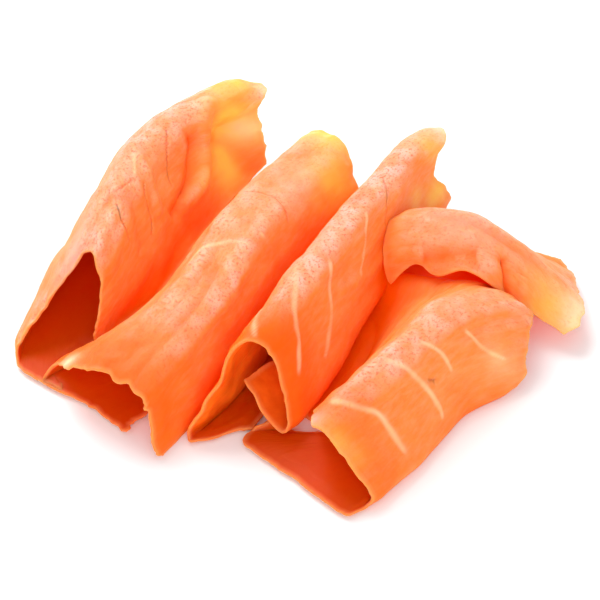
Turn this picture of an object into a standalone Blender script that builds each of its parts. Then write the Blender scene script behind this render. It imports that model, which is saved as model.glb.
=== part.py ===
"""Five overlapping slices of cold-smoked salmon, each one a thin sheet laid in a tall soft fold.

Lengths are in millimetres until the mesh is made. Y runs along the folds, away from the front,
X runs across the row of slices, and the origin is under the centre of the box, on the table.

Each sheet is described as it was laid: the line of its crest, then the strips it is bent into as it
comes down on each side. A strip has a length, or a height that it comes down to, and a turn in
degrees, downward positive, and both may change along the stations. Joints are counted from the
crest: 1 is where the first strip on the right ends, -1 where the first strip on the left ends.
The cut ends of the sheet, near and far, are given as the Y they reach at the joints.
"""
import math

import bmesh
import bpy
import numpy as np

MM = 0.001
THICKNESS = 2.0                 # hand-cut slice
SOFT_LANDING = 0.6              # height over which a sheet eases onto the table
LINES_PER_STRIP = 4             # facets across one strip
ROWS = 16                       # facets along the fold
ROUGHNESS = 0.45                # moist, dull surface
LEAST_SINK = 0.15               # keeps a leg's length finite where it lies nearly flat
BOX_CENTRE = (-3.55, 4.80)       # of the five slices, moved to the origin

SLICES = {
    "slice_left": dict(
        colour=(0.86, 0.24, 0.08),
        stations=(-50, -36, -10, 25, 50, 65),
        crest=((-58, -57, 9), (-50, -58.5, 12), (-40, -60, 17), (-24, -61.2, 25), (0, -64.6, 29),
               (22, -69.5, 29.5), (34, -69.5, 29.5), (45, -67, 29.5), (54, -64.5, 30), (67, -63, 29)),
        left=((("long", 8, 11, 11, 9, 9, 8), (62, 72, 72, 72, 72, 70)),
              (("down to", 4, 5, 5, 5, 5, 5), 5),
              (("long", 6), 106),
              (("long", 5.6, 18, 22, 16, 12, 12), 0)),
        right=((("long", 6, 7, 8, 8, 8, 9), (60, 60, 62, 58, 66, 32)),
               (("down to", 5, 5.4, 6, 7, 9, 18), (6, 6, 4, -2, -6, 0)),
               (("long", 2, 2.5, 4.6, 5.4, 5, 2), (-20, -50, -75, -80, -50, 0))),
        near=((-4, -59), (-3, -58), (-2, -48), (-1.5, -40), (-1, -31), (-0.5, -26), (0, -25),
              (0.5, -26), (1, -30), (2, -39), (3, -37)),
        far=((-4, 45), (-3, 48), (-2, 52), (-1, 60), (0, 65.5), (0.6, 67), (0.9, 70), (1.05, 70), (1.3, 62), (1.6, 60), (2, 58),
             (3, 55))),
    "slice_second": dict(
        colour=(0.88, 0.24, 0.08),
        stations=(-60, -25, 15, 60),
        crest=((-68, -20, 18), (-58, -20, 20), (-45, -18.5, 23.5), (-22, -18, 26.5), (0, -19.5, 27.5),
               (20, -20.5, 27), (40, -21, 25.5), (64, -21.5, 23)),
        left=((("long", 10, 5, 6.5, 5), (6, -4, -6, -2)),
              (("long", 8), (25, 57, 66, 56)),
              (("down to", 5, 4, 4, 8), (8, 14, 12, 10)),
              (("long", 5), 108),
              (("long", 40, 18, 14, 12), 0)),
        right=((("long", 7), (62, 63, 62, 58)),
               (("down to", 2, 3, 4, 10), (4, 18, 18, 10)),
               (("long", 2), (0, 0, 0, -20))),
        near=((-5, -64), (-4.5, -60), (-4, -59), (-3, -55), (-2, -62), (-1, -62), (0, -63), (1, -64),
              (2, -67.5), (3, -66)),
        far=((-5, 46), (-4, 48), (-3, 54), (-2, 62), (-1, 63), (0, 61), (1, 58), (2, 53), (3, 51))),
    "slice_third": dict(
        colour=(0.87, 0.25, 0.09),
        stations=(-58, -45, -10, 25, 70),
        crest=((-55, 6, 25), (-38, 6, 28), (-20, 5.6, 30.5), (4, 4.8, 31), (27, 4.8, 31), (52, 4.4, 31),
               (64, 5, 30.5), (78, 7.5, 28)),
        left=((("long", 7), (73, 80, 82, 82, 78)),
              (("down to", 3, 3, 3, 4, 6), 3),
              (("long", 5), (107, 99, 96, 96, 100)),
              (("long", 15, 9, 8, 7, 9), 0)),
        right=((("long", 7), (58, 58, 65, 70, 70)),
               (("down to", 8, 8, 8, 10, 10.5), (2, 2, 0, 0, 5)),
               (("long", 6, 6, 6, 4, 3), (150, 150, 140, 60, 20)),
               (("long", 20, 18, 10, 2, 2), 0)),
        near=((-4, -44), (-3.5, -48), (-3, -56), (-2, -57), (-1, -46), (0, -38), (1, -36), (2, -43), (3, -44), (4, -40)),
        far=((-4, 60), (-3, 68), (-2, 71), (-1, 74), (0, 77), (0.5, 74), (1, 67), (1.4, 63), (1.7, 66), (2, 68),
             (3, 66), (4, 64))),
    "slice_front_right": dict(
        colour=(0.88, 0.25, 0.08),
        stations=(-50, -36, -10, 12, 34, 52),
        crest=((-60, 35, 22), (-51, 35.5, 23), (-28, 40.5, 25), (-9, 43.5, 26), (7, 46.5, 25), (17, 50, 21),
               (25, 54, 15.5), (33, 58, 7), (44, 62, 3.5), (56, 64, 2)),
        left=((("long", 6, 6, 6, 8, 8, 4), (64, 64, 60, 46, 26, 10)),
              (("down to", 4), 3),
              (("long", 13, 13, 13, 15, 30, 41), (-62, -62, -58, -46, -22, 0))),
        right=((("long", 7, 7, 7, 9, 9, 5), (52, 54, 58, 50, 40, 10)),
               (("down to", 4, 4, 4, 4, 5, 3), (4, 4, 6, 6, 0, 0)),
               (("long", 6), 122),
               (("long", 40, 27, 22, 22, 22, 10), 0),
               (("long", 8, 4, 1, 1, 1, 1), (50, 25, 0, 0, 0, 0))),
        near=((-3, -32), (-2, -35), (-1, -46), (0, -53), (1, -53), (2, -53), (2.6, -56), (3, -60),
              (3.5, -55.5), (4, -51), (5, -42)),
        far=((-3, 57), (-2, 54), (-1, 40), (0, 33), (1, 29), (1.5, 21), (2, 13), (2.5, 8), (3, 4),
             (3.4, -12), (4, -36), (5, -38))),
    "slice_back_right": dict(
        colour=(0.9, 0.28, 0.11),
        lies_across=(17.5, 36.0, -78.5),
        stations=(0, 14, 23, 28, 34, 50),
        crest=((-6, 0, 23.5), (0, -1, 26), (9, -1, 28), (18, -2, 27.6), (33, -1.6, 21.6), (47, 1.5, 12.5),
               (57, 4, 8), (66, 5, 5.5)),
        left=((("long", 5), (50, 50, 48, 46, 44, 22)),
              (("down to", 7, 6, 5, 4, 3, 2), 10),
              (("long", 5), -50)),
        right=((("long", 6), (24, 24, 6, 6, 24, 26)),
               (("long", 5, 10, 9, 9, 6.5, 4), (4, 4, 4, 4, 4, 5)),
               (("long", 4, 4, 3, 3, 3, 2), (45, 45, 30, 30, 30, 10))),
        near=((-3, 11), (-2, 9), (-1, 4), (0, -3), (1, -3), (2, -1), (3, 0)),
        far=((-3, 44), (-2, 48), (-1, 54), (0, 57), (1, 57), (2, 55), (3, 53))),
}


def through(x, knots, values):
    """Smooth curve through the knots: a cubic with no overshoot, straight beyond the ends."""
    knots, values, x = np.asarray(knots, float), np.asarray(values, float), np.asarray(x, float)
    rise = np.diff(values) / np.diff(knots)
    slope = np.empty_like(values)
    slope[0], slope[-1] = rise[0], rise[-1]
    if len(values) > 2:
        slope[1:-1] = np.where(rise[:-1] * rise[1:] <= 0, 0, (rise[:-1] + rise[1:]) / 2)
    i = np.clip(np.searchsorted(knots, x) - 1, 0, len(knots) - 2)
    step = knots[i + 1] - knots[i]
    u = (x - knots[i]) / step
    t = np.clip(u, 0, 1)
    y = ((2 * t ** 3 - 3 * t ** 2 + 1) * values[i] + (t ** 3 - 2 * t ** 2 + t) * step * slope[i]
         + (3 * t ** 2 - 2 * t ** 3) * values[i + 1] + (t ** 3 - t ** 2) * step * slope[i + 1])
    return y + np.where(u > 1, (x - knots[-1]) * slope[-1], 0) + np.where(u < 0, (x - knots[0]) * slope[0], 0)


def along(value, y, stations):
    """A size at each Y: the same everywhere, or eased between the stations."""
    if np.isscalar(value) or len(value) == 1:
        return np.full_like(y, float(np.ravel(value)[0]))
    return through(np.clip(y, stations[0], stations[-1]), stations, value)


def come_down(strips, joint, y, top, stations):
    """Bend one side of the sheet strip by strip: distance out from the crest, and height."""
    out, height, angle = np.zeros_like(y), top.copy(), np.zeros_like(y)
    for k, (reach, turn) in enumerate(strips):
        bend = np.radians(along(turn, y, stations))
        bend = np.where(np.abs(bend) < 1e-5, 1e-5, bend)
        sink = (np.cos(angle) - np.cos(angle + bend)) / bend
        size = along(reach[1:], y, stations)
        if reach[0] == "down to":
            size = np.maximum((height_at(strips[:k], y, top, stations) - size)
                              / np.maximum(sink, LEAST_SINK), 1.0)
        part = bend * np.clip(joint[:, None] - k, 0, 1)
        out += size * (np.sin(angle + part) - np.sin(angle)) / bend
        height -= size * (np.cos(angle) - np.cos(angle + part)) / bend
        angle = angle + bend
    return out, height


def height_at(strips, y, top, stations):
    """Height at the end of these strips."""
    height, angle = top.copy(), np.zeros_like(y)
    for reach, turn in strips:
        bend = np.radians(along(turn, y, stations))
        bend = np.where(np.abs(bend) < 1e-5, 1e-5, bend)
        sink = (np.cos(angle) - np.cos(angle + bend)) / bend
        size = along(reach[1:], y, stations)
        height = np.minimum(height - sink, size) if reach[0] == "down to" else height - size * sink
        angle = angle + bend
    return height


def rest_on_table(z):
    """Ease the middle of the sheet to half its thickness above the table, then hold it flat."""
    over = z - THICKNESS / 2
    eased = THICKNESS / 2 + (over + SOFT_LANDING) ** 2 / (4 * SOFT_LANDING)
    return np.where(over > SOFT_LANDING, z, np.where(over < -SOFT_LANDING, THICKNESS / 2, eased))


def middle(shape):
    """Middle surface of a folded slice: a grid of points, joints by rows."""
    count = {side: len(shape[side]) for side in ("left", "right")}
    joint = np.linspace(-count["left"], count["right"], (count["left"] + count["right"]) * LINES_PER_STRIP + 1)
    ends = [through(joint, *zip(*shape[end])) for end in ("near", "far")]
    y = ends[0][:, None] + (ends[1] - ends[0])[:, None] * np.linspace(0, 1, ROWS + 1)
    ys, xs, zs = zip(*shape["crest"])
    points = np.stack([through(y, ys, xs), y, through(y, ys, zs)], axis=-1)
    for side, sign in (("left", -1), ("right", 1)):
        rows = joint * sign >= 0
        out, z = come_down(shape[side], abs(joint[rows]), y[rows], points[rows][..., 2], shape["stations"])
        points[rows, :, 0] += sign * out
        points[rows, :, 2] = z
    points[..., 2] = rest_on_table(points[..., 2])
    return points


def sheet(name, points, material):
    """One slice: the open middle surface, given its thickness by Solidify."""
    mesh = bmesh.new()
    grid = [[mesh.verts.new(point * MM) for point in row] for row in points]
    for row, after in zip(grid, grid[1:]):
        for a, b, c, d in zip(row, after, after[1:], row[1:]):
            mesh.faces.new((a, b, c, d))
    data = bpy.data.meshes.new(name)
    mesh.to_mesh(data)
    mesh.free()
    data.shade_smooth()
    data.materials.append(material)
    piece = bpy.data.objects.new(name, data)
    thickness = piece.modifiers.new("thickness", "SOLIDIFY")
    thickness.thickness = THICKNESS * MM
    thickness.offset = 0.0
    piece.modifiers.new("facets", "TRIANGULATE")
    return piece


def salmon(name, colour):
    """Orange flesh with a dull wet surface."""
    material = bpy.data.materials.new(name)
    material.use_nodes = True
    shader = material.node_tree.nodes["Principled BSDF"]
    shader.inputs["Base Color"].default_value = (*colour, 1.0)
    shader.inputs["Roughness"].default_value = ROUGHNESS
    return material


def main():
    for old in list(bpy.data.objects):
        bpy.data.objects.remove(old, do_unlink=True)
    group = bpy.data.collections.new("smoked_salmon_slices")
    bpy.context.scene.collection.children.link(group)
    row = bpy.data.objects.new("row", None)
    row.location = (-BOX_CENTRE[0] * MM, -BOX_CENTRE[1] * MM, 0.0)
    group.objects.link(row)
    for name, shape in SLICES.items():
        piece = sheet(name, middle(shape), salmon(f"{name}_flesh", shape["colour"]))
        x, y, yaw = shape.get("lies_across", (0.0, 0.0, 0.0))
        piece.parent = row
        piece.location = (x * MM, y * MM, 0.0)
        piece.rotation_euler.z = math.radians(yaw)
        group.objects.link(piece)


main()
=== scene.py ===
"""Five overlapping slices of cold-smoked salmon, for Blender 4.5.

Each slice is a fine grid of its own, bent by the same rules as the solid it stands for. On top of
that come what makes it look cut from a fish: torn ends, thin edges, pleats, soft waves, the pale
lines of fat between the flakes, and moist translucent flesh. Shade in hollows and folds, a sheen
on raised parts, glints and a glow under fold roofs are painted into the flesh colour.
Lengths are in millimetres until a mesh is made.
"""
import math

import bpy
import numpy as np
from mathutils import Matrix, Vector


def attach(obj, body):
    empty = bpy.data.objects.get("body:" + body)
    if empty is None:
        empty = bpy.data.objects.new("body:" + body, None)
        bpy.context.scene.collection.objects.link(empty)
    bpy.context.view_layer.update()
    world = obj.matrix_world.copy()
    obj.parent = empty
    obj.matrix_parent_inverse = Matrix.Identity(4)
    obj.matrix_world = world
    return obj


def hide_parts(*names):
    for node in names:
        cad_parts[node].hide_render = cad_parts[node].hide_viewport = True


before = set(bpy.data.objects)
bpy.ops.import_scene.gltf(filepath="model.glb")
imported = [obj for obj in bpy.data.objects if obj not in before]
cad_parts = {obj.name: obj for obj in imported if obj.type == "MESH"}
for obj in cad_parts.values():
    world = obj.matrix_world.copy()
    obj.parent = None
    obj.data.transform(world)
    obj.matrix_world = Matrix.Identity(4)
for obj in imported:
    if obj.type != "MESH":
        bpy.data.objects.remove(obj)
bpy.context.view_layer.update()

bl_info = {
    "name": "Smoked salmon slices",
    "version": (1, 0, 0),
    "blender": (4, 5, 0),
    "location": "3D View > Sidebar > Salmon",
    "description": "Lays out folded slices of cold-smoked salmon on a plain stage",
    "category": "Object",
}

MM = 0.001
THICKNESS = 2.0                 # the solid's, whose middle surface this follows
SOFT_LANDING = 0.6              # height over which a sheet eases onto the table
LEAST_SINK = 0.15
BOX_CENTRE = (-3.55, 4.80)      # of the five slices, moved to the origin

# Each sheet: the line of its crest as (y, x, z); the strips it is bent into on each side as
# (kind of reach, its values along the stations), (downward turn in degrees); and the Y that its cut
# ends reach at the joints between strips, counted from the crest, left negative. "torn" is how far,
# in mm, the near and the far end are torn, and the number after it how strongly painted shade
# darkens the near end.
SHAPES = {
    "slice_left": dict(
        torn=(1.5, 1.2), near_darkening=0.1,
        stations=(-50, -36, -10, 25, 50, 65),
        crest=((-58, -52, 9.5), (-50, -53, 13), (-40, -55, 17.5), (-24, -58, 25), (0, -64, 29),
               (22, -69.5, 29.5), (34, -69.5, 29.5), (45, -67, 29.5), (54, -64.5, 30), (67, -63, 29)),
        left=((("long", 10, 11, 11, 9, 9, 8), (33, 42, 62, 72, 72, 70)),
              (("down to", 4, 5, 5, 5, 5, 5), (34, 30, 12, 5, 5, 5)),
              (("long", 6), 106),
              (("long", 14, 20, 22, 16, 12, 12), 0)),
        right=((("long", 6, 7, 8, 8, 8, 9), (72, 72, 64, 58, 66, 32)),
               (("down to", 5, 5.4, 6, 7, 9, 18), (6, 6, 4, -2, -6, 0)),
               (("long", 2, 2.5, 4.6, 5.4, 5, 2), (-20, -50, -75, -80, -50, 0))),
        near=((-4, -59), (-3, -58), (-2, -54), (-1.5, -50), (-1, -44), (-0.5, -34), (0, -25),
              (0.5, -28), (1, -30), (2, -39), (3, -37)),
        far=((-4, 45), (-3, 48), (-2, 52), (-1, 60), (0, 65.5), (0.6, 67), (0.9, 70), (1.05, 70),
             (1.3, 62), (1.6, 60), (2, 58), (3, 55))),
    "slice_second": dict(
        torn=(2.2, 0.9), near_darkening=0.8,
        stations=(-60, -25, 15, 60),
        crest=((-68, -20, 18), (-58, -20, 20), (-45, -18.5, 23.5), (-22, -18, 26.5), (0, -19.5, 27.5),
               (20, -20.5, 27), (40, -21, 25.5), (64, -21.5, 23)),
        left=((("long", 10, 5, 6.5, 5), (6, -4, -6, -2)),
              (("long", 8), (25, 57, 66, 56)),
              (("down to", 5, 4, 4, 8), (8, 14, 12, 10)),
              (("long", 5), 108),
              (("long", 40, 18, 14, 12), 0)),
        right=((("long", 7), (62, 63, 62, 58)),
               (("down to", 2, 3, 4, 10), (4, 18, 18, 10)),
               (("long", 2), (0, 0, 0, -20))),
        near=((-5, -64), (-4.5, -60), (-4, -59), (-3, -55), (-2, -62), (-1, -62), (0, -63), (1, -64),
              (2, -67.5), (3, -66)),
        far=((-5, 46), (-4, 48), (-3, 54), (-2, 62), (-1, 63), (0, 61), (1, 58), (2, 53), (3, 51))),
    "slice_third": dict(
        torn=(1.1, 1.6), near_darkening=0.9,
        stations=(-58, -45, -10, 25, 70),
        crest=((-55, 6, 25), (-38, 6, 28), (-20, 5.6, 30.5), (4, 4.8, 31), (27, 4.8, 31), (52, 4.4, 31),
               (64, 5, 30.5), (78, 7.5, 28)),
        left=((("long", 7), (73, 80, 82, 82, 78)),
              (("down to", 3, 3, 3, 4, 6), 3),
              (("long", 5), (107, 99, 96, 96, 100)),
              (("long", 15, 9, 8, 7, 9), 0)),
        right=((("long", 7), (58, 58, 65, 70, 70)),
               (("down to", 8, 8, 8, 10, 10.5), (2, 2, 0, 0, 5)),
               (("long", 6, 6, 6, 4, 3), (150, 150, 140, 60, 20)),
               (("long", 20, 18, 10, 2, 2), 0)),
        near=((-4, -44), (-3.5, -48), (-3, -56), (-2, -57), (-1, -46), (0, -38), (1, -36), (2, -43),
              (3, -44), (4, -40)),
        far=((-4, 60), (-3, 68), (-2, 71), (-1, 74), (0, 77), (0.5, 74), (1, 67), (1.4, 63), (1.7, 66),
             (2, 68), (3, 66), (4, 64))),
    "slice_front_right": dict(
        torn=(0.8, 1.5), near_darkening=0.6,
        stations=(-50, -36, -10, 8, 18, 26, 40),
        crest=((-60, 35, 22), (-51, 35.5, 23), (-28, 40.5, 25), (-9, 43.5, 26), (7, 46.5, 25), (17, 50, 22.8),
               (25, 54, 19.5), (33, 58, 11), (44, 62, 4), (56, 64, 2)),
        left=((("long", 6, 6, 6, 8, 8, 8, 4), (64, 64, 60, 50, 34, 12, 10)),
              (("down to", 4, 4, 4, 6, 12, 16, 3), 3),
              (("long", 13, 13, 13, 17, 32, 46, 56), (-62, -62, -58, -46, -26, -4, 0))),
        right=((("long", 7, 7, 7, 9, 9, 9, 5), (52, 54, 58, 51, 48, 44, 30)),
               (("down to", 4, 4, 4, 4, 4.3, 4.6, 4.5), (4, 4, 6, 6, 4, 2, 0)),
               (("long", 6), 122),
               (("long", 40, 27, 22, 22, 22, 22, 18), 0),
               (("long", 13, 9, 1, 1, 1, 1, 1), (75, 60, 0, 0, 0, 0, 0))),
        near=((-3, -32), (-2, -35), (-1, -46), (0, -53), (1, -53), (2, -53), (2.6, -56), (3, -60),
              (3.5, -55.5), (4, -51), (5, -42)),
        far=((-3, 58), (-2, 55), (-1, 40), (0, 33), (1, 29), (1.5, 21), (2, 13), (2.5, 8), (3, 4),
             (3.4, -12), (4, -36), (5, -38))),
    "slice_back_right": dict(
        torn=(0.6, 1.2), near_darkening=0.1,
        lies_across=(17.5, 36.0, -78.5),
        stations=(-3, 5, 14, 23, 28, 34, 50),
        crest=((-6, 0, 23.5), (0, -1, 26), (9, -1, 28), (18, -2, 27.6), (33, -1.6, 21.6), (47, 1.5, 12.5),
               (57, 4, 8), (66, 5, 5.5)),
        left=((("long", 5), (50, 50, 50, 48, 46, 44, 22)),
              (("down to", 7, 7, 6, 5, 4, 3, 2), 10),
              (("long", 5), -50)),
        right=((("long", 6), (24, 24, 24, 6, 6, 24, 26)),
               (("long", 9, 6.5, 10, 9, 9, 6.5, 4), (34, 10, 4, 4, 4, 4, 5)),
               (("long", 11, 5, 4, 3, 3, 3, 2), (16, 40, 45, 30, 30, 30, 10))),
        near=((-3, 11), (-2, 9), (-1, 2), (0, -5.5), (1, -5.5), (2, -4), (3, -1)),
        far=((-3, 44), (-2, 48), (-1, 54), (0, 57), (1, 57), (2, 55), (3, 53))),
}

# What lies along a line on the flat sheet: kind, half its width and its height in mm, and points as
# (mm across from the crest, y). Fat lines lie between the flakes of muscle 12 to 18 mm apart. The
# darker colour laid along grooves, tears, creases and furrows, and under the back slice's lip, is
# painted shade.
LINES = {
    "slice_left": (
        ("groove_shade", 0.42, -0.3, ((1.4, -6), (6.4, -10), (13.7, -12.3))),
        ("groove_shade", 0.42, -0.3, ((6.6, 8.4), (10.6, 3.7), (19, 1.6), (22.7, -1.3))),
        ("groove_shade", 0.42, -0.35, ((2.2, 31.8), (8.2, 24.8), (19.5, 18.4))),
        ("groove_shade", 0.4, -0.25, ((-0.8, -2.7), (3.9, 5.3))),
        ("fat", 0.6, 0.1, ((0.2, 15.5), (3.5, 7))),
        ("crease", 2.0, -1.4, ((7.7, 38.6), (18.8, 31.4), (24.4, 22.5), (25.9, 9.5))),
        ("ridge", 2.2, 2.6, ((0.9, 51.7), (8.9, 44.3), (23, 37.3), (28.2, 28.2), (26.9, 14.7))),
        ("furrow", 2.4, -0.9, ((-4, -8), (6, -2), (16, -6), (24, -8))),
        ("ridge", 2.0, 1.2, ((-6, 20), (4, 14), (12, 9), (22, 6)))),
    "slice_second": (
        ("groove_shade", 0.42, -0.3, ((-10, 19.3), (-5.3, 21), (0.7, 20.2), (8, 16))),
        ("fat", 0.55, 0.1, ((-10.6, -17.6), (-8.4, -9.8), (-3.3, -3.7), (3.7, -1.8))),
        ("ridge", 2.2, 0.6, ((-8, -58), (-8, -50), (-5, -44.7), (-5.9, -28), (-8.2, -6.3))),
        ("ridge", 1.8, 0.6, ((7, -61.8), (7.6, -50), (7.7, -38), (7.3, -21.6), (6, -6))),
        ("furrow", 2.0, -0.7, ((0.5, -62), (1, -45), (0.8, -28), (-1, -12))),
        ("furrow", 1.6, -0.5, ((-16, -60), (-13, -40), (-13, -20), (-13, 5)))),
    "slice_third": (
        ("fat", 0.6, 0.15, ((-7, -24), (-3.8, -30.7), (0.6, -36.8))),
        ("fat", 0.6, 0.15, ((-3.4, -4.7), (1.3, -14.2), (5.1, -21.3), (12.8, -25.8), (20.5, -32.9))),
        ("fat", 0.6, 0.15, ((3.2, 2.9), (9.8, -3.6), (16, -7.6), (22.6, -14.6), (25.4, -19.2))),
        ("fat", 0.4, 0.1, ((2.5, 25.8), (10.7, 17.3), (18.3, 10))),
        ("groove_shade", 0.4, -0.2, ((-1, 44), (6, 36), (14, 30))),
        ("ridge", 2.0, 0.7, ((14, -2), (19, 12), (20.8, 16.6), (21, 30)))),
    "slice_front_right": (
        ("fat", 0.9, 0.2, ((-2.5, -44), (3.8, -41.6), (9, -37.4), (15.8, -36.3), (26.4, -36.1))),
        ("fat", 0.65, 0.15, ((-0.5, -24.2), (4.9, -21.9), (13.2, -19.1), (22.3, -17.8), (27.5, -18.6))),
        ("fat", 0.5, 0.1, ((2.6, -11.9), (9.4, -8.2), (17.7, -7.4))),
        ("fat", 0.5, 0.1, ((7.8, 2.9), (16.5, 4.9), (22.2, 9.6))),
        ("tear", 0.7, -0.9, ((13.0, -16.9), (14.4, -15.1), (15.8, -14.3))),
        ("ridge", 2.5, 0.6, ((-2, -45), (-1, -25), (-1, -8)))),
    "slice_back_right": (
        ("crease", 1.2, -2.0, ((6.5, 30.5), (9.7, 31.3), (13.5, 33.4), (17, 35))),
        ("ridge", 2.2, 1.0, ((8, 37), (12, 38.5), (17, 40))),
        ("deep", 2.6, -0.8, ((16, 7), (15, 13), (13.5, 19), (12.0, 25))),
        ("furrow", 1.6, -0.5, ((1, 4), (2, 16), (2, 28), (-1, 44)))),
}

# Soft patches on the flat sheet: kind, mm across and y of the middle, its two radii, and strength
# (for "lift", mm). The sheen and rosy patches are painted reflection and highlight, and the darker
# patch is painted shade.
PATCHES = {
    "slice_left": (
        ("lift", 22, 51, 11, 7.5, -7.5),
        ("yellow", 18, 54, 14, 8, 1.2), ("yellow", 3, 61, 9, 8, 0.75), ("yellow", 29, 45, 8, 8, 1.1),
        ("yellow", 33, 44, 6, 8, 1.0), ("yellow", 28, 36, 5, 6, 0.5),
        ("pale", 16, 69, 8, 4, 0.8), ("pale", 25, 57, 6, 5, 0.7), ("painted_sheen_patch", -2, 28, 9, 14, 0.8),
        ("sheen", -9, -29, 6, 13, 0.95), ("sheen", -14, -42, 6, 8, 0.7)),
    "slice_second": (
        ("yellow", -2, 61, 15, 8, 0.85), ("yellow", 10, 47, 8, 14, 0.9), ("pale", -30, -57.5, 6, 3.5, 0.9),
        ("fat", 3.7, 4.6, 1.0, 0.8, 0.9), ("sheen", 2, 30, 6, 9, 0.35)),
    "slice_third": (
        ("yellow", 24, 61, 5, 7, 0.8), ("yellow", 19, 50, 4, 5, 0.3), ("pale", 2, 75, 6, 5, 0.9),
        ("yellow", 6, 66, 7, 6, 0.5), ("deep", -2.3, 29.7, 3, 4, 0.45), ("sheen", -4, 8, 5, 12, 0.3)),
    "slice_front_right": (
        ("yellow", 10, -51, 8, 4, 0.35), ("sheen", -3, -51, 3, 2.5, 0.8), ("pale", 23, 8, 6, 5, 0.3)),
    "slice_back_right": (
        ("pale", 4, 56, 10, 5, 0.8), ("yellow", 9, 47, 9, 7, 0.5), ("sheen", 3, 17, 6, 10, 0.4)),
}
COLOURED = ("fat", "groove_shade", "deep", "yellow", "pale", "painted_sheen_patch", "sheen")


# ------------------------------------------------------------------ smooth curves and noise

def through(x, knots, values):
    """Smooth curve through the knots: a cubic with no overshoot, straight beyond the ends."""
    knots, values, x = np.asarray(knots, float), np.asarray(values, float), np.asarray(x, float)
    rise = np.diff(values) / np.diff(knots)
    slope = np.empty_like(values)
    slope[0], slope[-1] = rise[0], rise[-1]
    if len(values) > 2:
        slope[1:-1] = np.where(rise[:-1] * rise[1:] <= 0, 0, (rise[:-1] + rise[1:]) / 2)
    i = np.clip(np.searchsorted(knots, x) - 1, 0, len(knots) - 2)
    step = knots[i + 1] - knots[i]
    u = (x - knots[i]) / step
    t = np.clip(u, 0, 1)
    y = ((2 * t ** 3 - 3 * t ** 2 + 1) * values[i] + (t ** 3 - 2 * t ** 2 + t) * step * slope[i]
         + (3 * t ** 2 - 2 * t ** 3) * values[i + 1] + (t ** 3 - t ** 2) * step * slope[i + 1])
    return y + np.where(u > 1, (x - knots[-1]) * slope[-1], 0) + np.where(u < 0, (x - knots[0]) * slope[0], 0)


def along(value, y, stations):
    """A size at each Y: the same everywhere, or eased between the stations."""
    if np.isscalar(value) or len(value) == 1:
        return np.full_like(y, float(np.ravel(value)[0]))
    return through(np.clip(y, stations[0], stations[-1]), stations, value)


def waves(x, y, size, seed):
    """Soft value noise from -1 to 1 in the plane, one lump every size mm."""
    table = np.random.default_rng(seed).uniform(-1, 1, (64, 64))
    u, v = x / size + 20.3, y / size + 20.7
    i, j = np.floor(u).astype(int), np.floor(v).astype(int)
    fu, fv = u - i, v - j
    fu, fv = fu * fu * (3 - 2 * fu), fv * fv * (3 - 2 * fv)
    a, b = table[i % 64, j % 64], table[(i + 1) % 64, j % 64]
    c, d = table[i % 64, (j + 1) % 64], table[(i + 1) % 64, (j + 1) % 64]
    return (a * (1 - fu) + b * fu) * (1 - fv) + (c * (1 - fu) + d * fu) * fv


def smoothstep(x, low, high):
    t = np.clip((x - low) / (high - low), 0, 1)
    return t * t * (3 - 2 * t)


# ------------------------------------------------------------------ folding a sheet

def come_down(strips, joint, y, top, stations):
    """Bend one side of the sheet strip by strip: distance out from the crest, and height."""
    out, height, angle = np.zeros_like(y), top.copy(), np.zeros_like(y)
    for k, (reach, turn) in enumerate(strips):
        bend = np.radians(along(turn, y, stations))
        bend = np.where(np.abs(bend) < 1e-5, 1e-5, bend)
        sink = (np.cos(angle) - np.cos(angle + bend)) / bend
        size = along(reach[1:], y, stations)
        if reach[0] == "down to":
            size = np.maximum((height_at(strips[:k], y, top, stations) - size)
                              / np.maximum(sink, LEAST_SINK), 1.0)
        part = bend * np.clip(joint - k, 0, 1)
        out += size * (np.sin(angle + part) - np.sin(angle)) / bend
        height -= size * (np.cos(angle) - np.cos(angle + part)) / bend
        angle = angle + bend
    return out, height


def height_at(strips, y, top, stations):
    """Height at the end of these strips."""
    height, angle = top.copy(), np.zeros_like(y)
    for reach, turn in strips:
        bend = np.radians(along(turn, y, stations))
        bend = np.where(np.abs(bend) < 1e-5, 1e-5, bend)
        sink = (np.cos(angle) - np.cos(angle + bend)) / bend
        size = along(reach[1:], y, stations)
        height = np.minimum(height - sink, size) if reach[0] == "down to" else height - size * sink
        angle = angle + bend
    return height


def rest_on_table(z):
    """Ease the middle of the sheet to half its thickness above the table, then hold it flat."""
    over = z - THICKNESS / 2
    eased = THICKNESS / 2 + (over + SOFT_LANDING) ** 2 / (4 * SOFT_LANDING)
    return np.where(over > SOFT_LANDING, z, np.where(over < -SOFT_LANDING, THICKNESS / 2, eased))


def torn_edge(place, seed):
    """How far back the edge is torn at each place along it, from 0 to about 1."""
    return np.abs(0.62 * waves(place, place * 0, 7.0, seed) + 0.38 * waves(place, place * 0, 2.6, seed + 1)
                  + 0.16 * waves(place, place * 0, 1.1, seed + 2))


def fold(shape, joint, rows, torn=0.0, reach=None, seed=0):
    """Middle surface as a grid of points: joints by rows. torn scales how far its ends are torn."""
    ends = [through(joint, *zip(*shape[end])) for end in ("near", "far")]
    if torn:
        for k, sign in ((0, 1), (1, -1)):
            ends[k] = ends[k] + sign * torn * shape["torn"][k] * torn_edge(reach, seed + 3 * k)
    y = ends[0][:, None] + (ends[1] - ends[0])[:, None] * np.linspace(0, 1, rows)
    ys, xs, zs = zip(*shape["crest"])
    points = np.stack([through(y, ys, xs), y, through(y, ys, zs)], axis=-1)
    for side, sign in (("left", -1), ("right", 1)):
        mine = joint * sign >= 0
        count = len(shape[side])
        at = np.abs(joint[mine])[:, None] * np.ones_like(y[mine])
        if torn:
            at = at * (1 - smoothstep(at, count - 1, count) * torn * 0.03 * torn_edge(y[mine], seed + 7))
        out, z = come_down(shape[side], at, y[mine], points[mine][..., 2], shape["stations"])
        points[mine, :, 0] += sign * out
        points[mine, :, 2] = z
    points[..., 2] = rest_on_table(points[..., 2])
    return points


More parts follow.
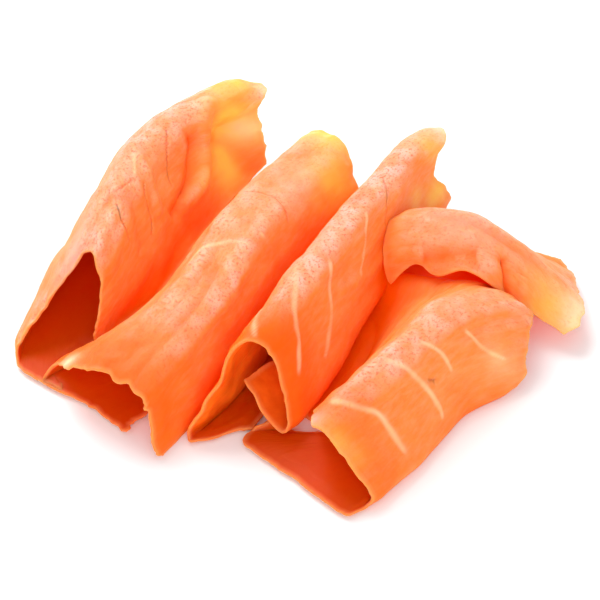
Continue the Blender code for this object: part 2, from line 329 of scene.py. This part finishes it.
def columns(shape, spacing):
    """Joint values that split each strip into steps of about this many mm, and how far across each is."""
    joint, reach = [-float(len(shape["left"]))], [0.0]
    steps = 8
    coarse = np.linspace(-len(shape["left"]), len(shape["right"]),
                         steps * (len(shape["left"]) + len(shape["right"])) + 1)
    points = fold(shape, coarse, 12)
    step = np.linalg.norm(np.diff(points, axis=0), axis=2).mean(axis=1)
    for k in range(0, len(coarse) - 1, steps):
        width = step[k:k + steps].sum()
        part = np.arange(1, max(3, int(round(width / spacing))) + 1)
        joint += list(joint[-1] + part / len(part))
        reach += list(reach[-1] + width * part / len(part))
    return np.array(joint), np.array(reach)


def place(points, shape):
    """Turn and move a slice to where it lies, with the origin under the middle of the group."""
    points = points.copy()
    if "lies_across" in shape:
        x0, y0, yaw = shape["lies_across"]
        c, s = math.cos(math.radians(yaw)), math.sin(math.radians(yaw))
        x, y = points[..., 0].copy(), points[..., 1].copy()
        points[..., 0], points[..., 1] = x0 + c * x - s * y, y0 + s * x + c * y
    return points - np.array([*BOX_CENTRE, 0.0])


def unit(v):
    return v / np.maximum(np.linalg.norm(v, axis=-1, keepdims=True), 1e-9)


def normals(points):
    return unit(np.cross(np.gradient(points, axis=0), np.gradient(points, axis=1)))


def distance_to(line, across, y):
    """Distance in the flat sheet to a smooth line through its points, and how far along it."""
    line = np.asarray(line, float)
    t = np.linspace(0, len(line) - 1, 6 * (len(line) - 1) + 1)
    sx, sy = through(t, range(len(line)), line[:, 0]), through(t, range(len(line)), line[:, 1])
    best, where = np.full(across.shape, 1e9), np.zeros(across.shape)
    for k in range(len(t) - 1):
        ax, ay, bx, by = sx[k], sy[k], sx[k + 1] - sx[k], sy[k + 1] - sy[k]
        f = np.clip(((across - ax) * bx + (y - ay) * by) / (bx * bx + by * by), 0, 1)
        d = np.hypot(across - ax - f * bx, y - ay - f * by)
        where = np.where(d < best, (k + f) / (len(t) - 1), where)
        best = np.minimum(best, d)
    return best, where


def detail(name, points, joint, settings):
    """Waves, pleats and lines on the middle surface. Gives the points, half thickness and facts."""
    seed = settings.seed + 31 * list(SHAPES).index(name)
    step = np.linalg.norm(np.diff(points, axis=0), axis=2)
    across = np.concatenate([np.zeros((1, points.shape[1])), np.cumsum(step, axis=0)])
    across = across - across[np.searchsorted(joint, 0.0)]
    y = points[..., 1]
    rim = np.minimum.reduce([across - across[0], across[-1] - across,
                             y - y[:, :1], y[:, -1:] - y])
    facts = {key: np.zeros_like(y) for key in COLOURED}
    near_rim = 1 + 0.9 * np.exp(-rim / 5)
    lift = settings.wave_height * near_rim * (
        waves(across, y, 13.0, seed) + 0.42 * waves(across, y, 5.0, seed + 1)
        + 0.55 * waves(across, y / 5, 3.6, seed + 3) + 0.13 * waves(across, y, 2.1, seed + 2))
    for kind, width, height, line in LINES[name]:
        d, where = distance_to(line, across, y)
        fade = smoothstep(where, 0, 0.08) * smoothstep(1 - where, 0, 0.08)
        wander = 1 + 0.45 * waves(across, y, 3.2, seed + 5)
        mark = np.exp(-(d / (width * wander)) ** 2) * fade
        if kind == "fat":
            facts["fat"] = np.maximum(facts["fat"], mark * (0.72 + 0.28 * waves(across, y, 6.0, seed + 6)))
        # Grooves and tears get painted shade
        elif kind in ("groove_shade", "tear"):
            facts["groove_shade"] = np.maximum(facts["groove_shade"], mark)
        # The colour along creases, furrows and under the back slice's lip is painted shade; the relief is real
        elif kind in ("crease", "deep", "furrow"):
            part = {"crease": 0.75, "deep": 0.8, "furrow": 0.3}[kind]
            facts["deep"] = np.maximum(facts["deep"], part * np.exp(-(d / (1.4 * width)) ** 2) * fade)
        lift += height * np.exp(-(d / width) ** 2) * fade
    for kind, middle, middle_y, radius, radius_y, strength in PATCHES[name]:
        uneven = 1 + 0.3 * waves(across, y, 4.5, seed + 8)
        patch = strength * np.exp(-(((across - middle) / radius) ** 2 + ((y - middle_y) / radius_y) ** 2))
        if kind == "lift":
            lift += patch
        else:
            facts[kind] = np.maximum(facts[kind], np.clip(patch * uneven, 0, 1))
    above_table = smoothstep(points[..., 2], THICKNESS / 2 + 0.05, THICKNESS * 1.3)
    points = points + normals(points) * (lift * (0.12 + 0.88 * above_table))[..., None]
    edge = settings.edge_part + (1 - settings.edge_part) * smoothstep(rim, 0, settings.edge_reach)
    half = settings.thickness / 2 * edge * (1 + 0.12 * waves(across, y, 6.0, seed + 9))
    points[..., 2] = np.maximum(points[..., 2], half)
    facts.update(across=across, along=y, rim=rim, from_near=y - y[:, :1])
    return points, half, facts


# ------------------------------------------------------------------ mesh

def border_of(n, m):
    """Grid indices once round the edge of an n by m grid."""
    return ([(i, 0) for i in range(n)] + [(n - 1, j) for j in range(1, m)]
            + [(i, m - 1) for i in range(n - 2, -1, -1)] + [(0, j) for j in range(m - 2, 0, -1)])


def shell(points, half):
    """Closed skin round the middle surface with a rounded cut edge.

    Gives vertices, faces, the grid point each vertex belongs to, 1 if it is on the inner side, and
    the way it faces.
    """
    n, m = points.shape[:2]
    up = normals(points)
    grid = np.arange(n * m).reshape(n, m)
    quad = np.stack([grid[:-1, :-1], grid[1:, :-1], grid[1:, 1:], grid[:-1, 1:]], axis=-1).reshape(-1, 4)
    vertices = [(points + up * half[..., None]).reshape(-1, 3), (points - up * half[..., None]).reshape(-1, 3)]
    source, inner = [grid.ravel(), grid.ravel()], [np.zeros(n * m), np.ones(n * m)]
    facing = [up.reshape(-1, 3), -up.reshape(-1, 3)]
    faces = [quad, quad[:, ::-1] + n * m]
    edge = border_of(n, m)
    ei, ej = np.array(edge).T
    outward = unit(points[ei, ej] - points[np.clip(ei, 1, n - 2), np.clip(ej, 1, m - 2)])
    count = len(edge)
    rings = [grid[ei, ej]]
    for turn in (45, 90, 135):
        a = math.radians(turn)
        away = up[ei, ej] * math.cos(a) + outward * math.sin(a)
        vertices.append(points[ei, ej] + away * half[ei, ej][:, None])
        rings.append(2 * n * m + (len(rings) - 1) * count + np.arange(count))
        source.append(grid[ei, ej])
        inner.append(np.full(count, turn / 180))
        facing.append(away)
    rings.append(grid[ei, ej] + n * m)
    for a, b in zip(rings, rings[1:]):
        faces.append(np.stack([np.roll(a, -1), a, b, np.roll(b, -1)], axis=-1))
    vertices = np.concatenate(vertices)
    vertices[:, 2] = np.maximum(vertices[:, 2], 0.0)
    return vertices, np.concatenate(faces), np.concatenate(source), np.concatenate(inner), np.concatenate(facing)


def make_mesh(name, vertices, faces, uv, facts):
    mesh = bpy.data.meshes.new(name)
    mesh.from_pydata((vertices * MM).tolist(), [], faces.tolist())
    layer = mesh.uv_layers.new(name="flat_sheet")
    corner = np.empty(len(mesh.loops), int)
    mesh.loops.foreach_get("vertex_index", corner)
    layer.data.foreach_set("uv", (uv[corner]).astype(np.float32).ravel())
    for key, values in facts.items():
        mesh.attributes.new(key, "FLOAT", "POINT").data.foreach_set("value", values.astype(np.float32))
    mesh.shade_smooth()
    mesh.update()
    return mesh


def surroundings(clouds, radius):
    """A map, 1 mm to a cell, of how high the group stands on average within this radius."""
    half_map = 100
    height = np.zeros((2 * half_map, 2 * half_map))
    for cloud in clouds:
        i, j = (np.clip(cloud[:, k].round().astype(int) + half_map, 0, 2 * half_map - 1) for k in (0, 1))
        np.maximum.at(height, (i, j), cloud[:, 2])
    kernel = np.exp(-(np.arange(-3 * radius, 3 * radius + 1) / radius) ** 2)
    kernel /= kernel.sum()
    for axis in (0, 1):
        height = np.apply_along_axis(np.convolve, axis, height, kernel, mode="same")

    def look_up(points):
        u, v = points[:, 0] + half_map, points[:, 1] + half_map
        i, j = np.floor(u).astype(int), np.floor(v).astype(int)
        fu, fv = u - i, v - j
        return ((height[i, j] * (1 - fu) + height[i + 1, j] * fu) * (1 - fv)
                + (height[i, j + 1] * (1 - fu) + height[i + 1, j + 1] * fu) * fv)
    return look_up


# ------------------------------------------------------------------ materials

def linear(hexcode, alpha=1.0):
    """sRGB hex colour as a linear RGBA."""
    channels = [int(hexcode[i:i + 2], 16) / 255 for i in (1, 3, 5)]
    return (*[c / 12.92 if c <= 0.04045 else ((c + 0.055) / 1.055) ** 2.4 for c in channels], alpha)


def node(tree, kind, settings=None, **links):
    """Add a node, set its properties, and set or link its inputs by name or number."""
    made = tree.nodes.new(kind)
    for key, value in (settings or {}).items():
        setattr(made, key, value)
    for key, value in links.items():
        socket = made.inputs[int(key[1:]) if key[0] == "_" and key[1:].isdigit() else key.replace("_", " ")]
        if isinstance(value, bpy.types.NodeSocket):
            tree.links.new(value, socket)
        else:
            socket.default_value = value
    return made


def ramp(tree, value, *stops):
    made = node(tree, "ShaderNodeValToRGB", _0=value)
    elements = made.color_ramp.elements
    for element, (at, colour) in zip(elements, stops):
        element.position, element.color = at, colour
    for at, colour in stops[2:]:
        elements.new(at).color = colour
    return made.outputs["Color"]


def mix(tree, factor, a, b, blend="MIX"):
    made = node(tree, "ShaderNodeMix", dict(data_type="RGBA", blend_type=blend), _0=factor, _6=a, _7=b)
    return made.outputs[2]


def maths(tree, operation, *values, clamp=False):
    return node(tree, "ShaderNodeMath", dict(operation=operation, use_clamp=clamp),
                **{f"_{k}": v for k, v in enumerate(values)}).outputs[0]


def smoked_salmon(settings):
    """Cold-smoked salmon, knife-cut: moist, translucent orange muscle with pale fat between flakes.

    Light enters the thin sheet and comes out redder, by subsurface scattering. Light and shade are
    also painted into the colour: orange-red painted shade in hollows, creases, grooves and towards the
    near ends, a darker interior to every fold, a painted glow under a fold's roof, a pale rose painted
    sheen on raised up-facing parts, pitted by torn fibres, and small patches of painted reflection.
    """
    material = bpy.data.materials.new("cold_smoked_salmon")
    material.use_nodes = True
    tree = material.node_tree
    shader = tree.nodes["Principled BSDF"]
    uv = node(tree, "ShaderNodeUVMap", dict(uv_map="flat_sheet")).outputs[0]
    fact = {key: node(tree, "ShaderNodeAttribute", dict(attribute_name=key)).outputs["Fac"]
            for key in (*COLOURED, "rim", "inner", "crown", "raised", "roof") if key != "painted_sheen_patch"}

    def noise(scale_mm, stretch=(1.0, 1.0), levels=4.0, rough=0.55):
        mapped = node(tree, "ShaderNodeMapping", _0=uv,
                      Scale=(stretch[0] / scale_mm, stretch[1] / scale_mm, 1.0)).outputs[0]
        return node(tree, "ShaderNodeTexNoise", _0=mapped, Scale=1.0, Detail=levels,
                    Roughness=rough).outputs["Fac"]

    def part(value, low, high):
        """0 below low to 1 above high."""
        return node(tree, "ShaderNodeMapRange", _0=value, _1=low, _2=high).outputs[0]

    cloud, fibre = noise(15), noise(1.5, (1.0, 0.3), 3.0)
    pits = part(noise(0.8, (1.0, 0.8), 3.0, 0.6), 0.52, 0.64)      # torn fibres, 0.5 mm across
    colour = ramp(tree, cloud, (0.32, linear(settings.flesh)), (0.68, linear(settings.light)))
    colour = mix(tree, maths(tree, "MULTIPLY", part(fibre, 0.4, 0.75), 0.3), colour, linear(settings.pale))
    patchy = maths(tree, "MULTIPLY_ADD", part(noise(6.0), 0.4, 0.6), 0.65, 0.3)
    # Painted sheen on raised, up-facing parts, in uneven patches
    colour = mix(tree, maths(tree, "MULTIPLY", fact["crown"], patchy), colour, linear(settings.crown))
    pitted = maths(tree, "MULTIPLY", pits, maths(tree, "MULTIPLY_ADD", fact["crown"], 0.6, 0.16))
    colour = mix(tree, pitted, colour, linear(settings.pit))
    # Painted shade in hollows, creases and towards the near ends
    colour = mix(tree, fact["deep"], colour, linear(settings.deep))
    colour = mix(tree, fact["yellow"], colour, linear(settings.yellow))
    # Painted shade on the inner side of the sheets: darker low down, lighter up the walls
    painted_interior = mix(tree, part(cloud, 0.25, 0.75), linear(settings.painted_interior_lit), linear(settings.inside))
    painted_interior = mix(tree, fact["raised"], linear(settings.inside), painted_interior)
    colour = mix(tree, fact["inner"], colour, painted_interior)
    # Painted reflection and glints
    colour = mix(tree, fact["sheen"], colour, linear(settings.painted_reflection_tint))
    colour = mix(tree, fact["pale"], colour, linear(settings.cream))
    colour = mix(tree, maths(tree, "MULTIPLY", fact["fat"], 0.75), colour, linear(settings.fat))
    # Painted shade along grooves and the tear
    colour = mix(tree, maths(tree, "MULTIPLY", fact["groove_shade"], 0.6), colour, linear(settings.line))
    rim = maths(tree, "MULTIPLY", part(fact["rim"], 1.3, 0.0), 0.33)
    colour = mix(tree, rim, colour, linear(settings.rim))
    tree.links.new(colour, shader.inputs["Base Color"])

    rough = node(tree, "ShaderNodeMapRange", _0=noise(4.0), _3=settings.gloss - 0.08,
                 _4=settings.gloss + 0.12).outputs[0]
    tree.links.new(rough, shader.inputs["Roughness"])
    shader.inputs["IOR"].default_value = 1.42
    # Painted glow: emission, masked by roof, on the inner side where it faces down
    shader.inputs["Emission Color"].default_value = linear(settings.through)
    tree.links.new(maths(tree, "MULTIPLY", fact["roof"], settings.passed), shader.inputs["Emission Strength"])
    shader.inputs["Specular IOR Level"].default_value = 0.12
    shader.inputs["Subsurface Weight"].default_value = settings.glow
    shader.inputs["Subsurface Radius"].default_value = (1.0, 0.5, 0.18)
    shader.inputs["Subsurface Scale"].default_value = settings.glow_depth * MM
    # A real clear coat, laid where the sheen is painted
    tree.links.new(maths(tree, "MULTIPLY", fact["crown"], settings.oil), shader.inputs["Coat Weight"])
    shader.inputs["Coat Roughness"].default_value = 0.25
    grain = maths(tree, "SUBTRACT", maths(tree, "MULTIPLY", fibre, 0.6),
                  maths(tree, "MULTIPLY", pits, maths(tree, "MULTIPLY", fact["crown"], 0.8)))
    bump = node(tree, "ShaderNodeBump", _0=settings.grain, Distance=0.5 * MM, Height=grain)
    tree.links.new(bump.outputs[0], shader.inputs["Normal"])
    tree.links.new(bump.outputs[0], shader.inputs["Coat Normal"])
    return material


def plain(name, colour, rough):
    """Matt seamless paper: no detail, so that nothing competes with the food."""
    material = bpy.data.materials.new(name)
    material.use_nodes = True
    shader = material.node_tree.nodes["Principled BSDF"]
    shader.inputs["Base Color"].default_value = linear(colour)
    shader.inputs["Roughness"].default_value = rough
    return material


# ------------------------------------------------------------------ settings and operators

class SalmonSliceSettings(bpy.types.PropertyGroup):
    """How the slices are cut."""
    spacing: bpy.props.FloatProperty(name="Grid spacing", description="Size of a face in mm", default=0.62, min=0.4, max=4)
    thickness: bpy.props.FloatProperty(name="Thickness", description="In the middle of a slice, in mm", default=2.0, min=0.5, max=5)
    edge_part: bpy.props.FloatProperty(name="Edge", description="Part of the thickness left at the edge", default=0.45, subtype="FACTOR", min=0.1, max=1)
    edge_reach: bpy.props.FloatProperty(name="Edge reach", description="Width over which it thins, in mm", default=5.0, min=0.5, max=20)
    wave_height: bpy.props.FloatProperty(name="Waves", description="Height of the soft waves in mm", default=0.6, min=0, max=3)
    torn: bpy.props.FloatProperty(name="Torn", description="How strongly the ends are torn", default=1.0, min=0, max=3)
    seed: bpy.props.IntProperty(name="Seed", description="For waves and torn ends", default=7)


def shade(name, description, default):
    return bpy.props.StringProperty(name=name, description=description, default=default)


class SalmonFleshSettings(bpy.types.PropertyGroup):
    """Colours and surface of the flesh."""
    flesh: shade("Flesh", "Muscle", "#fb8034")
    light: shade("Light flesh", "Paler muscle", "#fc9048")
    pale: shade("Fibre", "Between the fibres", "#ffb388")
    # Painted sheen: pale rose mixed into raised, up-facing parts, as light from above would show them
    crown: shade("Crown", "Pink sheen on raised parts", "#ffbaa4")
    pit: shade("Pit", "Torn fibres in the sheen", "#ec6438")
    # Painted shade: this orange-red goes into hollows between slices, creases, furrows, under the back slice's lip and
    # towards the darkened near ends
    deep: shade("Deep", "Hollows between slices", "#ff6200")
    # Painted shade in the folds: the inner side of each sheet gets this darker red low down on the table, and the
    # lighter colour next up its walls
    inside: shade("Inside", "Floor of a fold", "#c84200")
    painted_interior_lit: shade("Inside, lighter", "Walls of a fold", "#ff7a1c")
    # Painted glow: colour of the emission under fold roofs, standing in for light that comes through the sheet
    through: shade("Light passed through", "Colour of the light that comes through a fold's roof", "#ff4408")
    yellow: shade("Yellow", "Thin fatty ends", "#ffcb5a")
    cream: shade("Cream", "Thinnest tips", "#fbdcae")
    # Painted reflection: greyish rose where a cool light glances off the near-left side of the left slice, and small
    # painted glints on the others
    painted_reflection_tint: shade("Bloom", "Greyish sheen of the smoked outside", "#ecaa94")
    fat: shade("Fat", "Lines between flakes", "#ffd0a4")
    # Painted shade: darker orange laid along the grooves where flakes part and in the tear
    line: shade("Flake line", "Where flakes part", "#e0581c")
    rim: shade("Rim", "Thin cut edge", "#ffb070")
    gloss: bpy.props.FloatProperty(name="Roughness", description="Of the moist surface", default=0.42, subtype="FACTOR", min=0, max=1)
    oil: bpy.props.FloatProperty(name="Oil", description="Clear film on raised parts", default=0.3, subtype="FACTOR", min=0, max=1)
    glow: bpy.props.FloatProperty(name="Glow", description="Share of light that passes inside", default=0.85, subtype="FACTOR", min=0, max=1)
    # Strength of that painted glow
    passed: bpy.props.FloatProperty(name="Light passed", description="Share of light that comes through a fold's roof", default=0.3, subtype="FACTOR", min=0, max=1)
    glow_depth: bpy.props.FloatProperty(name="Glow depth", description="How far red light travels, in mm", default=3.6, min=0, max=10)
    grain: bpy.props.FloatProperty(name="Grain", description="Strength of the fibre relief", default=0.55, subtype="FACTOR", min=0, max=1)


class SalmonStageSettings(bpy.types.PropertyGroup):
    """Camera, lights and floor."""
    azimuth: bpy.props.FloatProperty(name="Azimuth", description="Turn of the camera", default=math.radians(30), subtype="ANGLE", unit="ROTATION")
    elevation: bpy.props.FloatProperty(name="Elevation", description="Height of the camera", default=math.radians(42), subtype="ANGLE", unit="ROTATION")
    distance: bpy.props.FloatProperty(name="Distance", description="Camera to object", default=0.65, subtype="DISTANCE", unit="LENGTH")
    lens: bpy.props.FloatProperty(name="Lens", description="Focal length in mm", default=130.0, min=10, max=500)
    key: bpy.props.FloatProperty(name="Key light", description="Power in W", default=8.0, min=0)
    fill: bpy.props.FloatProperty(name="Fill light", description="Power in W", default=5.0, min=0)
    sky: bpy.props.FloatProperty(name="Surround", description="Strength of the white surround", default=0.75, min=0)


class SALMON_OT_slices(bpy.types.Operator):
    """Build the five folded slices in place of their plain solids"""
    bl_idname = "salmon.slices"
    bl_label = "Lay the slices"

    def execute(self, context):
        cut, flesh = context.scene.salmon_slices, context.scene.salmon_flesh
        material = smoked_salmon(flesh)
        skins = {}
        for index, (name, shape) in enumerate(SHAPES.items()):
            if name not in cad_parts:
                raise RuntimeError(f"the frame has no node {name}")
            joint, reach = columns(shape, cut.spacing)
            rows = int(round(np.ptp([v for end in ("near", "far") for _, v in shape[end]]) / cut.spacing))
            middle = fold(shape, joint, rows, cut.torn, reach, cut.seed + 11 * index)
            middle, half, facts = detail(name, middle, joint, cut)
            vertices, faces, source, inner, facing = shell(middle, half)
            skins[name] = place(vertices, shape), faces, source, inner, facing, facts
        around = surroundings([skin[0] for skin in skins.values()], 8)
        for name, (vertices, faces, source, inner, facing, facts) in skins.items():
            facts = {key: values.ravel()[source] for key, values in facts.items()}
            # Painted shade: the further a point lies below the group's average height round it, the more of the shade
            # colour it gets
            below = around(vertices) - vertices[:, 2]
            hollow = smoothstep(below, -0.5, 8.0)
            # Painted shade at the open near end, fading out over its first 28 mm
            near_end_dark = SHAPES[name]["near_darkening"] * (1 - smoothstep(facts.pop("from_near"), 2.0, 28.0))
            # Painted sheen where the outer side faces up and stands clear of its surroundings; the rosy patches add
            # painted highlight
            crown = smoothstep(facing[:, 2], 0.5, 0.93) * smoothstep(-below, -2.0, 5.0) * (1 - inner)
            crown = np.maximum(crown * (1 - near_end_dark), facts.pop("painted_sheen_patch"))
            for key in ("pale", "yellow", "sheen"):
                facts[key] = facts[key] * (1 - 0.8 * inner)
            # raised is the height of a point, which lightens the painted interior shade up the walls
            facts.update(inner=inner, roof=(inner > 0.9) * smoothstep(-facing[:, 2], 0.1, 0.7), raised=smoothstep(vertices[:, 2], 2.0, 7.0),
                         crown=crown * (1 - 0.8 * facts["yellow"]), deep=np.maximum.reduce(
                [hollow, facts["deep"], near_end_dark]) * (1 - np.clip(facts["yellow"], 0, 1)))
            flat = np.stack([facts.pop("across"), facts.pop("along")], axis=-1)
            mesh = make_mesh(f"{name}_cut", vertices, faces, flat, facts)
            mesh.materials.append(material)
            piece = bpy.data.objects.new(f"{name}_cut", mesh)
            context.scene.collection.objects.link(piece)
            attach(piece, "root")
            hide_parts(name)
        return {"FINISHED"}


class SALMON_OT_stage(bpy.types.Operator):
    """Set the camera, soft lights and a plain pale floor"""
    bl_idname = "salmon.stage"
    bl_label = "Set the stage"

    def execute(self, context):
        scene, setup = context.scene, context.scene.salmon_stage
        target = Vector((-BOX_CENTRE[0], -BOX_CENTRE[1], 12.0)) * MM
        camera = bpy.data.objects.new("camera", bpy.data.cameras.new("camera"))
        scene.collection.objects.link(camera)
        a, e = setup.azimuth, setup.elevation
        back = Vector((math.sin(a) * math.cos(e), -math.cos(a) * math.cos(e), math.sin(e)))
        camera.location = target + back * setup.distance
        camera.rotation_euler = (-back).to_track_quat("-Z", "Y").to_euler()
        camera.data.lens, camera.data.sensor_width = setup.lens, 36.0
        camera.data.clip_start = 0.01
        scene.camera = camera
        for name, size, power, spot in (("key", 0.7, setup.key, (-0.55, 0.35, 0.75)),
                                        ("fill", 0.9, setup.fill, (0.45, -0.8, 0.4))):
            lamp = bpy.data.lights.new(name, "AREA")
            lamp.shape, lamp.size, lamp.energy = "DISK", size, power
            light = bpy.data.objects.new(name, lamp)
            light.location = spot
            light.rotation_euler = (-Vector(spot)).to_track_quat("-Z", "Y").to_euler()
            scene.collection.objects.link(light)
        world = bpy.data.worlds.new("studio")
        world.use_nodes = True
        world.node_tree.nodes["Background"].inputs["Color"].default_value = linear("#ffffff")
        world.node_tree.nodes["Background"].inputs["Strength"].default_value = setup.sky
        scene.world = world
        scene.view_settings.view_transform = "Standard"
        mesh = bpy.data.meshes.new("floor")
        r = 3.0
        mesh.from_pydata([(-r, -r, 0), (r, -r, 0), (r, r, 0), (-r, r, 0)], [], [(0, 1, 2, 3)])
        mesh.materials.append(plain("white_paper", "#f8f8f8", 0.9))
        floor = bpy.data.objects.new("floor", mesh)
        floor.location.z = -0.0004
        scene.collection.objects.link(floor)
        return {"FINISHED"}


class SALMON_PT_panel(bpy.types.Panel):
    """Buttons and settings"""
    bl_idname = "SALMON_PT_panel"
    bl_label = "Smoked salmon"
    bl_space_type = "VIEW_3D"
    bl_region_type = "UI"
    bl_category = "Salmon"

    def draw(self, context):
        for group, operator in (("salmon_slices", SALMON_OT_slices), ("salmon_flesh", None),
                                ("salmon_stage", SALMON_OT_stage)):
            box = self.layout.box()
            settings = getattr(context.scene, group)
            for key in settings.__annotations__:
                box.prop(settings, key)
            if operator:
                box.operator(operator.bl_idname)


GROUPS = {"salmon_slices": SalmonSliceSettings, "salmon_flesh": SalmonFleshSettings,
          "salmon_stage": SalmonStageSettings}
CLASSES = (*GROUPS.values(), SALMON_OT_slices, SALMON_OT_stage, SALMON_PT_panel)


def register():
    for cls in CLASSES:
        bpy.utils.register_class(cls)
    for key, cls in GROUPS.items():
        setattr(bpy.types.Scene, key, bpy.props.PointerProperty(type=cls))


def unregister():
    for key in GROUPS:
        delattr(bpy.types.Scene, key)
    for cls in reversed(CLASSES):
        bpy.utils.unregister_class(cls)


def main():
    register()
    bpy.ops.salmon.slices()
    bpy.ops.salmon.stage()


if __name__ == "__main__":
    main()
